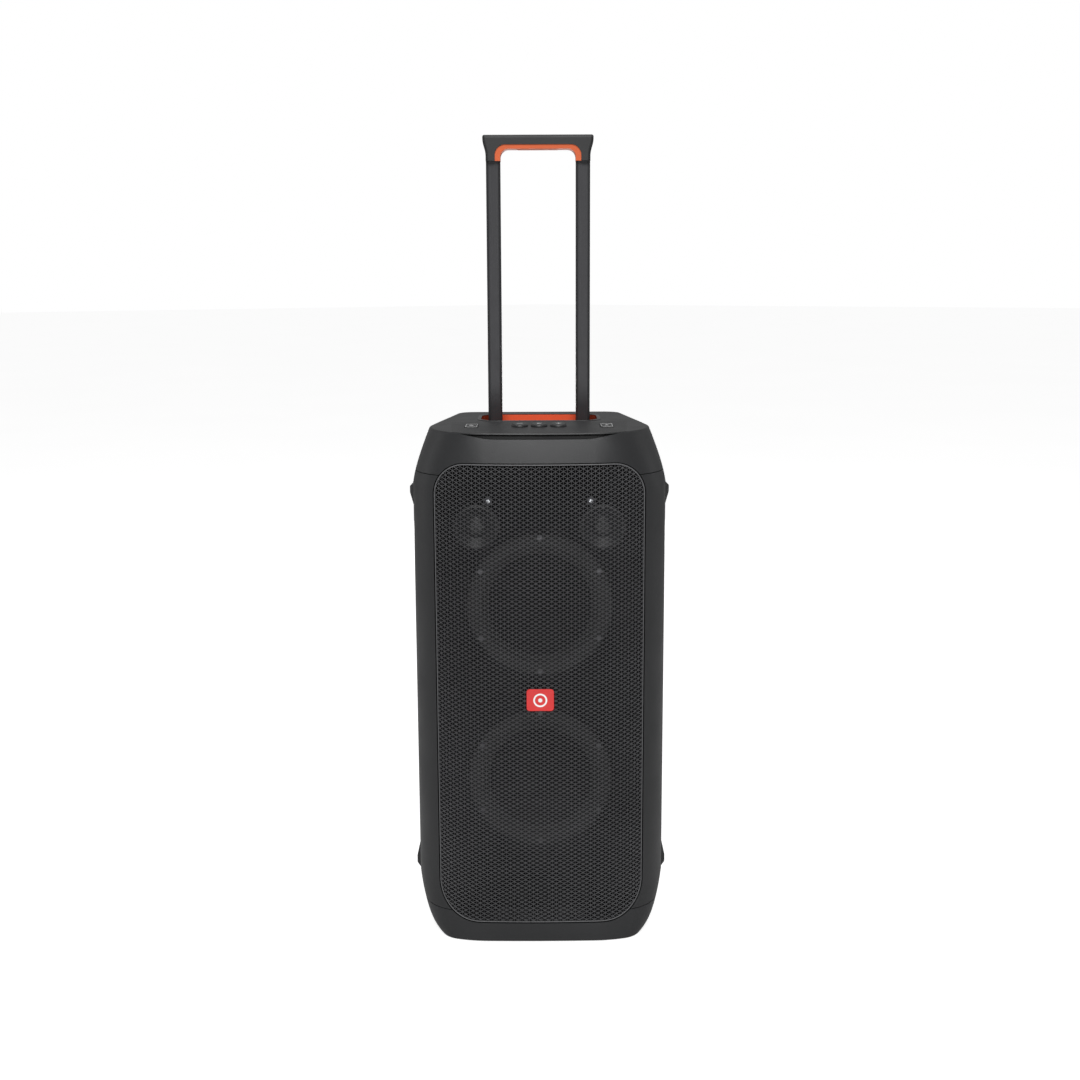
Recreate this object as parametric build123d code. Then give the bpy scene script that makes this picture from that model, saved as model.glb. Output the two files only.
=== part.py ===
from build123d import *
import math
import os

# Party speaker on wheels, in millimetres.  The origin is on the floor under the middle of the whole thing,
# Z is up, the grille faces -Y and X runs to the right of someone looking at the grille.
# The trolley handle is drawn pulled out.

os.makedirs("parts", exist_ok=True)

# ---- driving dimensions -------------------------------------------------------------------------------

half_width = 159.0
front = -182.0
rear = 145.0
wall = 4.5
bow_radius = 620.0
base_bow_radius = 2600.0
bow_reach = 68.0
brow_radius = 145.0
cheek_radius = 76.0
base_cheek_radius = 30.0
back_radius = 22.0
base_back_radius = 18.0
side_taper = 7.0
deck_taper = 10.2

base_z = 1.5
skirt_z = 71.0
shoulder_z = 585.0
deck_z = 654.0
bottom_seam_z = 40.0
top_seam_z = 601.0
seam_gap = 0.9
skirt_draw = 21.0
base_round = 10.0
base_nose_draw = 4.4
base_back_draw = 7.2
base_edge = 1.0
deck_side_draw = 21.6
deck_nose_draw = 16.0
deck_back_draw = 57.0
deck_edge = 3.0

deck_break_y = -45.0
deck_fall = 0.6
panel_half_width = 104.0
panel_ramp = 42.0
panel_blend = 120.0
panel_dip = 7.2
lip_setback = 0.5
lip_thickness = 1.5
groove_depth = 4.0

grille_half_width = 129.6
grille_low = 27.5
grille_high = 616.5
grille_low_corner = 50.0
grille_high_corner = 39.0
grille_gap = 1.0
grille_inset = 0.5
grille_thickness = 1.8

baffle_front = -148.0
baffle_thickness = 12.0

woofer_heights = (437.5, 212.5)
woofer_radius = 90.0
woofer_hole = 78.0
cone_radius = 65.0
ring_outer = 96.0
ring_height = 14.0
tweeter_place = (78.0, 535.0)
tweeter_radius = 28.0
strobe_place = (63.0, 568.0)
strobe_radius = 5.0

recess_half_width = 76.0
recess_front = -33.0
recess_back = 48.0
recess_corner = 22.0
recess_floor = 612.0
liner_wall = 2.5
rim_width = 5.0
rim_height = 0.8

pad_thickness = 6.0
pad_run = 112.0

button_x = 24.3
button_y = -88.0
button_width = 20.0
button_length = 32.0
button_rise = 3.2
side_button_x = 85.0
side_button_width = 17.0
side_button_length = 34.0
side_button_rise = 0.8
button_gap = 0.4
button_travel = 1.2

post_x = 58.0
post_y = 25.0
post_width = 18.6
post_depth = 15.0
post_corner = 4.0
post_wall = 1.6
post_bottom = 527.0
guide_bottom = 172.0
guide_wall = 2.4
guide_gap = 0.5
stowed_top = 687.0
pin_z = 541.0
pin_radius = 3.0
pin_length = 13.0
pin_reach = 2.2

grip_top = 1016.6
grip_bottom = 984.0
grip_top_half = 71.4
grip_low_half = 67.4
grip_depth = 30.0
trim_half = 55.6
trim_top = 1004.5
trim_corner = 13.5
gap_half = 48.6
gap_top = 999.0
gap_corner = 10.5
release_half = 26.0
release_drop = 0.7

wheel_radius = 45.0
wheel_width = 28.0
wheel_x = 106.0
wheel_y = 138.5
axle_radius = 5.0
bore_gap = 0.05
arch_gap = 5.0

back_low = 108.0
back_high = 582.0
back_width = 202.0
back_corner = 10.0

panel_z = 492.0
panel_width = 164.0
panel_height = 118.0
panel_thickness = 2.5
panel_corner = 8.0
plate_gap = 0.3
door_z = 212.0
door_width = 132.0
door_height = 96.0
panel_lip = 7.0
port_z = 352.0
port_radius = 30.0
port_length = 118.0
screw_radius = 1.6
screw_head = 3.2

jack_places = ((-48.0, 24.0), (-20.0, 24.0))
jack_radius = 8.0
knob_places = ((-48.0, -4.0), (-20.0, -4.0))
knob_radius = 8.0
inlet_place = (46.0, -32.0)
sockets_place = (38.0, 18.0)

foot_x = 92.0
foot_y = -120.0
foot_radius = 14.0
foot_height = 3.0

big = 900.0


# ---- shapes shared by many parts ----------------------------------------------------------------------

def save(part, node):
    """Write one sub-part as a STEP file."""
    export_step(part, f"parts/{node}.step")


def block(x0, x1, y0, y1, z0, z1):
    """A box given by its limits."""
    return Pos((x0 + x1) / 2, (y0 + y1) / 2, (z0 + z1) / 2) * Box(x1 - x0, y1 - y0, z1 - z0)


def rod_x(x0, x1, y, z, radius):
    """A round bar along X."""
    return Pos((x0 + x1) / 2, y, z) * Rot(0, 90, 0) * Cylinder(radius, abs(x1 - x0))


def rod_y(x, y0, y1, z, radius):
    """A round bar along Y."""
    return Pos(x, (y0 + y1) / 2, z) * Rot(90, 0, 0) * Cylinder(radius, abs(y1 - y0))


def both_sides(part):
    """The part and its mirror image, as separate solids."""
    return Compound(children=[part, mirror(part, Plane.YZ)])


def other_side(part):
    """The mirror image of a right-hand part."""
    return mirror(part, Plane.YZ)


def turned(profile, x, z):
    """A solid of revolution facing the front: profile holds (radius, y) points about an axis through x, z."""
    face = make_face(Polyline(*profile, close=True))
    solid = revolve(face, Axis.Y, 360)
    return Pos(x, 0, z) * solid


def plan(half, nose_y, back_y, radii, reach, taper):
    """Outline from above: a bowed front, round cheeks, sides tapering by taper degrees and a flat back.

    radii holds the radius of the bow, the brow, the cheek and the back corner.  The bow turns into the brow
    at reach from the middle."""
    bow, brow, cheek, corner = radii
    lean = math.radians(taper)
    bow_sine = reach / bow
    brow_sine = (half - cheek - (bow - brow) * bow_sine) / (brow - cheek)
    bow_end = math.degrees(math.asin(bow_sine))
    brow_end = math.degrees(math.asin(brow_sine))
    nose = JernArc((0, nose_y), (1, 0), bow, bow_end)
    roll = JernArc(nose @ 1, nose % 1, brow, brow_end - bow_end)
    shoulder = JernArc(roll @ 1, roll % 1, cheek, 90 + taper - brow_end)
    run = (back_y - corner * (1 - math.sin(lean)) - (shoulder @ 1).Y) / math.cos(lean)
    side = Line(shoulder @ 1, (shoulder @ 1) + (shoulder % 1) * run)
    turn = JernArc(side @ 1, side % 1, corner, 90 - taper)
    back = Line(turn @ 1, (0, back_y))
    half_outline = nose + roll + shoulder + side + turn + back
    return make_face(half_outline + mirror(half_outline, Plane.YZ))


def section(z, inset):
    """The cabinet's outline at height z, moved inwards by inset.

    It is widest between the skirt and the shoulder.  Towards the base the front flattens; towards the deck
    the sides close in, more at the back than at the front."""
    low = max(0.0, (skirt_z - z) / (skirt_z - base_z))
    high = max(0.0, (z - shoulder_z) / (deck_z - shoulder_z))
    close = high**1.3
    draw = skirt_draw * low**1.3 + base_round * low**6 + deck_side_draw * close
    nose_y = front + base_nose_draw * low + deck_nose_draw * close
    back_y = rear - base_back_draw * low - deck_back_draw * close
    bow = bow_radius + (base_bow_radius - bow_radius) * low**2
    cheek = cheek_radius + (base_cheek_radius - cheek_radius) * low
    corner = back_radius + (base_back_radius - back_radius) * low
    taper = side_taper + (deck_taper - side_taper) * high
    radii = [radius - inset for radius in (bow, brow_radius, cheek, corner)]
    reach = bow_reach * (bow - inset) / bow
    return Pos(0, 0, z) * plan(half_width - draw - inset, nose_y + inset, back_y - inset, radii, reach, taper)


def cabinet(inset):
    """The whole cabinet as a solid, moved inwards by inset."""
    low = base_z + inset
    high = deck_z - inset
    skirt_steps = [low + (skirt_z - low) * (i / 6) ** 1.5 for i in range(7)]
    shoulder_steps = [shoulder_z + (high - shoulder_z) * i / 4 for i in range(5)]
    skirt = loft([section(z, inset) for z in skirt_steps])
    middle = extrude(section(skirt_z, inset), shoulder_z - skirt_z)
    shoulder = loft([section(z, inset) for z in shoulder_steps])
    return skirt + middle + shoulder


def deck_drop(y):
    """How far the sloping front of the deck lies under its flat back."""
    return max(0.0, deck_break_y - y) * math.tan(math.radians(deck_fall))


def above_deck(offset=0.0):
    """Everything above the deck, which slopes down in front of the handle recess."""
    y_end = front - 40
    side = Polyline(
        (deck_break_y, deck_z - offset),
        (y_end, deck_z - deck_drop(y_end) - offset),
        (y_end, deck_z + 60),
        (deck_break_y, deck_z + 60),
        close=True,
    )
    return extrude(Plane.YZ * make_face(side), half_width * 2, both=True)


def grille_prism(extra):
    """The front opening, running along Y, bigger all round by extra."""
    half = grille_half_width + extra
    low = grille_low - extra
    high = grille_high + extra
    corners = ((-half, low), (half, low), (half, high), (-half, high))
    low_corner = grille_low_corner + extra
    high_corner = grille_high_corner + extra
    outline = FilletPolyline(*corners, radius=[low_corner, low_corner, high_corner, high_corner], close=True)
    return Pos(0, front - 20, 0) * Rot(90, 0, 0) * extrude(make_face(outline), -90)


def wheel_arch(extra):
    """The hollow round each right-hand wheel, bigger by extra, open behind, below and outside."""
    inner_x = wheel_x - wheel_width / 2 - arch_gap - extra
    radius = wheel_radius + arch_gap + extra
    tunnel = rod_x(inner_x, half_width + 20, wheel_y, wheel_radius, radius)
    below = block(inner_x, half_width + 20, wheel_y - radius, rear + 60, -20, wheel_radius)
    behind = block(inner_x, half_width + 20, wheel_y, rear + 60, -20, wheel_radius + radius)
    return tunnel + below + behind


def recess_outline(extra):
    """The handle recess seen from above, bigger all round by extra."""
    width = 2 * (recess_half_width + extra)
    length = recess_back - recess_front + 2 * extra
    middle_y = (recess_back + recess_front) / 2
    return Pos(0, middle_y, 0) * RectangleRounded(width, length, recess_corner + extra)


def column(outline, z0, z1):
    """An outline drawn from above, raised from z0 to z1."""
    return extrude(Pos(0, 0, z0) * outline, z1 - z0)


def post_outline(extra):
    """Cross section of a handle post, bigger all round by extra."""
    width = post_width + 2 * extra
    depth = post_depth + 2 * extra
    return Pos(post_x, post_y, 0) * RectangleRounded(width, depth, post_corner + extra)


def oval(x, width, length):
    """A long round-ended button outline."""
    return Pos(x, button_y, 0) * Rot(0, 0, 90) * SlotOverall(length, width)


def square(x, width, length):
    """A rounded oblong button outline."""
    return Pos(x, button_y, 0) * RectangleRounded(width, length, 3.5)


def rear_plate(width, height, z, y0, y1, corner):
    """A rounded plate standing across the back."""
    face = Pos(0, y1, z) * Rot(90, 0, 0) * RectangleRounded(width, height, corner)
    return extrude(face, y1 - y0)


# ---- the cabinet --------------------------------------------------------------------------------------

def soft_edged(solid):
    """The outer solid with the edges of its deck and its base rounded."""
    tops = solid.faces().filter_by(lambda face: face.normal_at().Z > 0.95)
    rim = [
        edge
        for face in tops
        for edge in face.outer_wire().edges()
        if abs(edge.center().Y - deck_break_y) > 1
    ]
    solid = fillet(rim, deck_edge)
    base = solid.faces().sort_by(Axis.Z)[0]
    return fillet(base.outer_wire().edges(), base_edge)


def hollow_body():
    """The cabinet's skin, with its front opening, wheel arches and deck slope cut."""
    arches = wheel_arch(0)
    arches += other_side(arches)
    arch_walls = wheel_arch(wall)
    arch_walls += other_side(arch_walls)
    inside = cabinet(wall) - above_deck(wall) - arch_walls
    return soft_edged(cabinet(0) - above_deck()) - inside - grille_prism(grille_gap) - arches


def make_shell(skin):
    """The middle of the cabinet: front surround, sides and a rebated opening for the back wall."""
    shell = skin & block(-big, big, -big, big, bottom_seam_z + seam_gap / 2, top_seam_z - seam_gap / 2)
    shell -= rebate(back_width, back_high - back_low, (back_high + back_low) / 2, back_corner)
    for x, z in back_screw_places():
        shell -= rod_y(x, rear - 20, rear, z, screw_radius)
    shell -= rod_x(-wheel_x, wheel_x, wheel_y, wheel_radius, axle_radius)
    return shell


def make_back_wall():
    """The moulded back: a plate with openings for the connection panel, the port and the battery cover."""
    height = back_high - back_low
    middle_z = (back_high + back_low) / 2
    flange = rear_plate(back_width, height, middle_z, rear - panel_thickness, rear, back_corner)
    inset = 2 * (panel_lip + plate_gap)
    width = back_width - inset
    back = flange + rear_plate(width, height - inset, middle_z, rear - wall, rear - 0.1, back_corner / 2)
    for z, wide, high in ((panel_z, panel_width, panel_height), (door_z, door_width, door_height)):
        back -= rebate(wide, high, z, panel_corner)
        for x, screw_z in screw_places(z, wide, high):
            back -= rod_y(x, rear - 20, rear, screw_z, screw_radius)
    for x, z in back_screw_places():
        back -= rod_y(x, rear - 20, rear + 5, z, screw_radius)
    return back - rod_y(0, rear - 20, rear + 5, port_z, port_radius + 3)


def rebate(width, height, z, corner):
    """A stepped opening through the back wall: a plate of that size drops into it and rests on the lip."""
    gap = 2 * plate_gap
    seat = rear_plate(width + gap, height + gap, z, rear - panel_thickness, rear + 5, corner + plate_gap)
    lip = 2 * panel_lip
    return seat + rear_plate(width - lip, height - lip, z, rear - 20, rear + 5, corner / 2)


def make_bottom_cap(skin):
    """The base moulding that the cabinet stands in."""
    cap = skin & block(-big, big, -big, big, 0, bottom_seam_z - seam_gap / 2)
    cap -= rod_x(-wheel_x, wheel_x, wheel_y, wheel_radius, axle_radius)
    for x, y in foot_places():
        cap -= Pos(x, y, foot_height / 2) * Cylinder(foot_radius, foot_height)
    return cap


def control_cut():
    """The bite out of the front of the deck that the control panel fills, with its ends ramped up."""
    trough_z = deck_z - deck_drop(front) - panel_dip
    flat = panel_half_width - panel_ramp
    high = trough_z + panel_dip + 6
    wide = panel_half_width + panel_ramp
    under = FilletPolyline(
        (-wide, high), (-panel_half_width, high - 6), (-flat, trough_z), (flat, trough_z),
        (panel_half_width, high - 6), (wide, high), radius=panel_blend,
    )
    lid = Polyline(under @ 1, (wide, deck_z + 30), (-wide, deck_z + 30), under @ 0)
    bite = extrude(Plane.XZ * make_face(under + lid), big, both=True)
    return bite & block(-big, big, front - 20, recess_front - rim_width - 4, deck_z - 40, deck_z + 20)


def make_top_cap(skin):
    """The top moulding, without the bite that the control panel fills."""
    cap = skin & block(-big, big, -big, big, top_seam_z + seam_gap / 2, deck_z + 10)
    cap -= column(recess_outline(liner_wall), recess_floor - liner_wall, deck_z + 10)
    return cap - control_cut() - button_holes()


def button_holes():
    """Wells for the five buttons, through the control panel and the cap under it."""
    return [column(outline, deck_z - 60, deck_z + 20) for outline in button_outlines(button_gap)]


def make_control_panel():
    """The panel let into the front of the deck: a thin lip over a groove, pierced for the buttons."""
    lip = Pos(0, lip_setback, 0) * cabinet(0) & above_deck(lip_thickness)
    body = Pos(0, groove_depth, 0) * cabinet(0)
    panel = (lip + body) & control_cut() - above_deck()
    panel -= cabinet(wall) - above_deck(wall)
    return panel - button_holes()


def make_recess_liner():
    """The coloured tub the grip drops into, with holes for the two posts."""
    tub = column(recess_outline(liner_wall - 0.02), recess_floor - liner_wall, deck_z)
    tub -= column(recess_outline(0), recess_floor, deck_z + 10)
    posts = column(post_outline(guide_gap), recess_floor - 10, recess_floor + 10)
    return tub - posts - other_side(posts)


def make_recess_rim():
    """The dark frame lying on the deck round the recess."""
    rim = column(recess_outline(rim_width), deck_z, deck_z + rim_height)
    rim = chamfer(rim.faces().sort_by(Axis.Z)[-1].outer_wire().edges(), rim_height * 0.7)
    return rim - column(recess_outline(0), deck_z - 1, deck_z + 10)


def make_grille():
    """The perforated front sheet, here without its holes."""
    sheet = cabinet(grille_inset) - cabinet(grille_inset + grille_thickness)
    return sheet & grille_prism(0)


def make_baffle():
    """The board behind the grille that carries the drivers."""
    slab = block(-big, big, baffle_front, baffle_front + baffle_thickness, 34, 612)
    board = slab & cabinet(wall + 0.02)
    for z in woofer_heights:
        board -= rod_y(0, baffle_front - 5, baffle_front + 20, z, woofer_hole + 1)
        for x, screw_z in flange_places(z):
            board -= rod_y(x, baffle_front - 5, baffle_front + 8, screw_z, screw_radius)
    for side in (-1, 1):
        x, z = tweeter_place
        board -= rod_y(side * x, baffle_front - 5, baffle_front + 20, z, tweeter_radius - 5)
        x, z = strobe_place
        board -= rod_y(side * x, baffle_front - 5, baffle_front + 20, z, strobe_radius - 1)
    return board


# ---- rubber feet and side pads ------------------------------------------------------------------------

def foot_places():
    """Where the two front feet sit."""
    return ((-foot_x, foot_y), (foot_x, foot_y))


def make_feet():
    """Two rubber feet under the front; the wheels carry the back."""
    feet = []
    for x, y in foot_places():
        foot = Pos(x, y, foot_height / 2) * Cylinder(foot_radius, foot_height)
        feet.append(chamfer(foot.edges().group_by(Axis.Z)[0], 1))
    return Compound(children=feet)


def make_side_pad(steep_z, shallow_z):
    """A wedge-shaped rubber pad on the right side, thick near steep_z and thin at shallow_z."""
    lean = math.radians(side_taper)
    slope = shallow_z - steep_z
    plane = Plane(
        origin=(half_width - cheek_radius * (1 - math.cos(lean)), cheek_end_y(), 0),
        x_dir=(math.cos(lean), math.sin(lean), 0),
        z_dir=(-math.sin(lean), math.cos(lean), 0),
    )
    profile = FilletPolyline(
        (-10, -steep_z),
        (0, -steep_z),
        (pad_thickness, -(steep_z + 0.18 * slope)),
        (pad_thickness, -(steep_z + 0.40 * slope)),
        (0, -shallow_z),
        (-10, -shallow_z),
        radius=[0, 0, 2, 2, 0, 0],
        close=True,
    )
    return extrude(plane * make_face(profile), pad_run) - cabinet(0)


def cheek_end_y():
    """Where the round cheek meets the straight side."""
    bow_sine = bow_reach / bow_radius
    brow_reach = half_width - cheek_radius - (bow_radius - brow_radius) * bow_sine
    brow_sine = brow_reach / (brow_radius - cheek_radius)
    bow_cosine = math.sqrt(1 - bow_sine**2)
    brow_cosine = math.sqrt(1 - brow_sine**2)
    bow_depth = bow_radius * (1 - bow_cosine)
    brow_depth = brow_radius * (bow_cosine - brow_cosine)
    cheek_depth = cheek_radius * (brow_cosine + math.sin(math.radians(side_taper)))
    return front + bow_depth + brow_depth + cheek_depth


# ---- drivers and lights -------------------------------------------------------------------------------

def flange_places(z):
    """Six screws round a woofer's flange."""
    ring = (woofer_radius + woofer_hole) / 2 + 1
    angles = [math.radians(30 + 60 * i) for i in range(6)]
    return [(ring * math.cos(a), z + ring * math.sin(a)) for a in angles]


def make_basket(z):
    """Pressed woofer frame: a flange on the baffle and a windowed bowl behind it."""
    y = baffle_front
    bowl = turned(
        (
            (woofer_radius, y - 4),
            (woofer_radius, y),
            (woofer_hole, y),
            (woofer_hole - 3, y + 14),
            (46, y + 52),
            (30, y + 52),
            (30, y + 49),
            (44, y + 49),
            (woofer_hole - 6, y + 12),
            (woofer_hole - 4, y - 4),
        ),
        0,
        z,
    )
    for i in range(6):
        window = Pos(0, y + 34, z) * Rot(0, 60 * i, 0) * Pos(60, 0, 0) * Box(34, 22, 30)
        bowl -= window
    for x, screw_z in flange_places(z):
        bowl -= rod_y(x, y - 6, y + 2, screw_z, screw_radius)
    return bowl


def make_motor(z):
    """Woofer magnet with its plates, pole and the slot the voice coil runs in."""
    y = baffle_front + 52
    return turned(
        ((0, y - 4), (15, y - 4), (15, y + 26), (19, y + 26), (19, y), (48, y), (48, y + 32), (0, y + 32)),
        0,
        z,
    )


def make_cone(z):
    """Paper cone with its dust cap and voice-coil former."""
    y = baffle_front
    return turned(
        (
            (cone_radius, y - 2),
            (cone_radius, y - 0.5),
            (17.6, y + 28),
            (17.6, y + 62),
            (16.4, y + 62),
            (16.4, y + 25),
            (0, y + 13.5),
            (0, y + 12),
            (10, y + 14),
            (19, y + 22),
        ),
        0,
        z,
    )


def make_surround(z):
    """Half-roll rubber edge between the cone and its frame."""
    y = baffle_front - 1
    inner = cone_radius + 0.02
    outer = woofer_hole - 4.6
    middle = (inner + outer) / 2
    rise = (outer - inner) / 2 * 0.98
    skin = 0.9
    crest = ThreePointArc((inner, y), (middle, y - rise), (outer, y))
    under = ThreePointArc((outer - skin, y), (middle, y - rise + skin), (inner + skin, y))
    outline = crest + Line(crest @ 1, under @ 0) + under + Line(under @ 1, crest @ 0)
    return Pos(0, 0, z) * revolve(make_face(outline), Axis.Y, 360)


def make_light_ring(z):
    """Frosted light ring standing round a woofer."""
    y = baffle_front
    inner = woofer_radius + 0.5
    return turned(
        ((inner, y), (ring_outer, y), (ring_outer, y - ring_height + 3), (ring_outer - 2, y - ring_height),
         (inner, y - ring_height + 4)),
        0,
        z,
    )


def make_tweeter(x, z):
    """Small driver: a flared plate with a dome in the middle and a can behind."""
    y = baffle_front
    hole = tweeter_radius - 5.05
    return turned(
        (
            (tweeter_radius, y),
            (tweeter_radius, y - 3),
            (tweeter_radius - 3, y - 4),
            (14, y + 3),
            (12, y + 1),
            (8, y - 1.5),
            (0, y - 2.5),
            (0, y + 26),
            (19, y + 26),
            (19, y + 12),
            (hole, y + 12),
            (hole, y),
        ),
        x,
        z,
    )


def make_strobe(x, z):
    """Clear lens of a strobe light."""
    y = baffle_front
    return turned(
        ((0, y - 6), (2.5, y - 5.4), (strobe_radius, y - 3), (strobe_radius, y), (strobe_radius - 1.05, y),
         (strobe_radius - 1.05, y + 10), (0, y + 10)),
        x,
        z,
    )


def make_screw(x, z, seat_y, facing):
    """A pan-head screw along Y with its head on seat_y; facing is -1 for the front and 1 for the back."""
    head = rod_y(x, seat_y, seat_y + 1.8 * facing, z, screw_head)
    shank = rod_y(x, seat_y, seat_y - 9 * facing, z, screw_radius)
    recess = rod_y(x, seat_y + 0.9 * facing, seat_y + 3 * facing, z, 1.2)
    return head + shank - recess


def make_screws():
    """Screws through both woofer flanges, the connection panel, the battery cover and the back wall."""
    screws = []
    for height in woofer_heights:
        for x, z in flange_places(height):
            screws.append(make_screw(x, z, baffle_front - 4, -1))
    for middle_z, width, height in ((panel_z, panel_width, panel_height), (door_z, door_width, door_height)):
        for x, z in screw_places(middle_z, width, height):
            screws.append(make_screw(x, z, rear, 1))
    for x, z in back_screw_places():
        screws.append(make_screw(x, z, rear, 1))
    return Compound(children=screws)


def make_badge():
    """Front badge plate and the raised ring-and-dot mark on it."""
    y = front + grille_inset
    z = 323.5
    plate = Pos(0, y, z) * Rot(90, 0, 0) * extrude(RectangleRounded(34, 28, 4), 1.6)
    plate = chamfer(plate.faces().sort_by(Axis.Y)[0].edges(), 0.5)
    ring = turned(((6.6, y - 1.6), (8.6, y - 1.6), (8.6, y - 2), (6.6, y - 2)), 0, z)
    dot = rod_y(0, y - 2, y - 1.6, z, 2.6)
    return plate, Compound(children=[ring, dot])


# ---- buttons on the deck ------------------------------------------------------------------------------

def button_outlines(extra):
    """The five buttons seen from above, bigger all round by extra."""
    grow = 2 * extra
    ovals = [oval(x, button_width + grow, button_length + grow) for x in (-button_x, 0, button_x)]
    width = side_button_width + grow
    length = side_button_length + grow
    return ovals + [square(x, width, length) for x in (-side_button_x, side_button_x)]


def make_button(outline, rise, edge):
    """A push button standing out of the deck by rise, with a rounded top edge."""
    tilt = Pos(0, button_y, deck_z - deck_drop(button_y) + rise) * Rot(deck_fall, 0, 0)
    top = tilt * Pos(0, 0, 50) * Box(big, big, 100)
    button = column(outline, deck_z - 14, deck_z + 20) - top
    rim_edges = button.faces().sort_by(Axis.Z)[-1].edges()
    return fillet(rim_edges, edge)


def make_button_board():
    """Circuit board under the buttons."""
    z = deck_z - 14 - button_travel - 1.0
    board = block(-104, 104, button_y - 24, button_y + 24, z - 1.6, z)
    return board


# ---- the back -----------------------------------------------------------------------------------------

def screw_places(z, width, height):
    """Screws near the corners of a rear plate."""
    dx = width / 2 - 4
    dz = height / 2 - 4
    return [(sx * dx, z + sz * dz) for sx in (-1, 1) for sz in (-1, 1)]


def back_screw_places():
    """Screws down both edges of the back wall."""
    x = back_width / 2 - panel_lip / 2
    heights = [back_low + 14 + (back_high - back_low - 28) * i / 3 for i in range(4)]
    return [(side * x, z) for side in (-1, 1) for z in heights]


def make_rear_panel():
    """Connection panel let into the back."""
    plate = rear_plate(panel_width, panel_height, panel_z, rear - panel_thickness, rear, panel_corner)
    for x, dz in jack_places:
        plate -= rod_y(x, rear - 10, rear + 5, panel_z + dz, jack_radius)
    for x, dz in knob_places:
        plate -= rod_y(x, rear - 10, rear + 5, panel_z + dz, 3.1)
    x, dz = inlet_place
    plate -= Pos(x, rear, panel_z + dz) * Box(28, 20, 20)
    x, dz = sockets_place
    plate -= Pos(x, rear, panel_z + dz) * Box(44, 20, 16)
    for x, z in screw_places(panel_z, panel_width, panel_height):
        plate -= rod_y(x, rear - 10, rear + 5, z, screw_radius)
    return plate


def make_jack(x, dz):
    """Quarter-inch socket with a threaded nut, open in the middle."""
    z = panel_z + dz
    y = rear
    nut = Pos(x, y + 2.5, z) * Rot(90, 0, 0) * extrude(RegularPolygon(9.5, 6), 2.5)
    barrel = rod_y(x, y - 26, y, z, jack_radius - 0.02)
    return nut + barrel - rod_y(x, y - 22, y + 5, z, 3.3)


def make_knob(x, dz):
    """Fluted gain knob with its shaft through the panel."""
    z = panel_z + dz
    y = rear + 0.6
    cap = rod_y(x, y, y + 11, z, knob_radius)
    cap = chamfer(cap.faces().sort_by(Axis.Y)[-1].edges(), 1)
    for i in range(12):
        angle = math.radians(30 * i)
        cap -= rod_y(x + knob_radius * math.cos(angle), y - 1, y + 12, z + knob_radius * math.sin(angle), 0.9)
    cap -= block(x - 0.5, x + 0.5, y + 10.2, y + 12, z, z + knob_radius)
    return cap + rod_y(x, rear - 14, y + 1, z, 3.0)


def make_socket_block():
    """Small socket block: a slot-shaped data port and a round line-in socket."""
    x, dz = sockets_place
    z = panel_z + dz
    body = Pos(x, rear - 9.5, z) * Box(43.9, 20, 15.9)
    body -= Pos(x - 10, rear, z) * Box(13, 24, 5.2)
    body -= rod_y(x + 11, rear - 14, rear + 5, z, 2.1)
    return body


def make_inlet():
    """Mains inlet with two pins in a rounded well."""
    x, dz = inlet_place
    z = panel_z + dz
    shell = Pos(x, rear - 9, z) * Box(27.9, 22, 19.9)
    well = Pos(x, rear + 3, z) * Rot(90, 0, 0) * extrude(RectangleRounded(20, 11, 5), 17)
    pins = rod_y(x - 4.3, rear - 18, rear - 2, z, 1.2) + rod_y(x + 4.3, rear - 18, rear - 2, z, 1.2)
    return shell - well + pins


def make_port_tube():
    """Bass port: a tube flared at the back wall."""
    mouth = rear + 2.0
    inner = port_radius
    outer = port_radius + 2.98
    return turned(
        (
            (inner + 7, mouth),
            (inner + 9, rear + 0.02),
            (outer, rear + 0.02),
            (outer, mouth - port_length),
            (inner, mouth - port_length),
            (inner, mouth - 12),
            (inner + 2.2, mouth - 3),
        ),
        0,
        port_z,
    )


def make_battery_door():
    """Screwed service cover over the battery, with a ribbed face."""
    door = rear_plate(door_width, door_height, door_z, rear - panel_thickness, rear, panel_corner)
    for i in range(9):
        z = door_z + 8 * (i - 4)
        door -= block(-46, 46, rear - 0.9, rear + 5, z - 1.2, z + 1.2)
    for x, z in screw_places(door_z, door_width, door_height):
        door -= rod_y(x, rear - 10, rear + 5, z, screw_radius)
    return door


# ---- inside -------------------------------------------------------------------------------------------

def make_battery():
    """Battery pack behind its cover."""
    back = rear - wall - 1
    pack = block(-52, 52, back - 58, back, door_z - 34, door_z + 34)
    return fillet(pack.edges().filter_by(Axis.Y), 4)


def make_battery_tray():
    """Open tray that holds the battery pack to the back wall."""
    back = rear - wall - 0.05
    tray = block(-56, 56, back - 63, back, door_z - 38, door_z + 38)
    return tray - block(-52.4, 52.4, back - 59.4, back + 1, door_z - 34.4, door_z + 34.4)


def make_amplifier():
    """Amplifier board with its tall parts, standing behind the connection panel."""
    y = rear - 46
    board = block(-72, 72, y - 1.6, y, panel_z - 52, panel_z + 50)
    for x in (-50, -26, -2):
        board += rod_y(x, y - 24, y - 1.6, panel_z - 30, 9)
    board += block(20, 56, y - 18, y - 1.6, panel_z - 44, panel_z - 12)
    return board


def make_heat_sink():
    """Finned heat sink on the amplifier board."""
    y = rear - 47.6
    sink = block(-60, 60, y - 5, y - 0.02, panel_z + 4, panel_z + 40)
    for i in range(11):
        x = -55 + 11 * i
        sink += block(x - 1.5, x + 1.5, y - 22, y - 5, panel_z + 4, panel_z + 40)
    return sink


def make_power_supply():
    """Power supply on the floor of the cabinet."""
    floor = base_z + wall + 0.02
    box = block(-60, 60, -60, 40, floor, floor + 42)
    for i in range(8):
        y = -45 + 10 * i
        box -= block(-50, 50, y - 2, y + 2, floor + 40, floor + 45)
    return box


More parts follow.
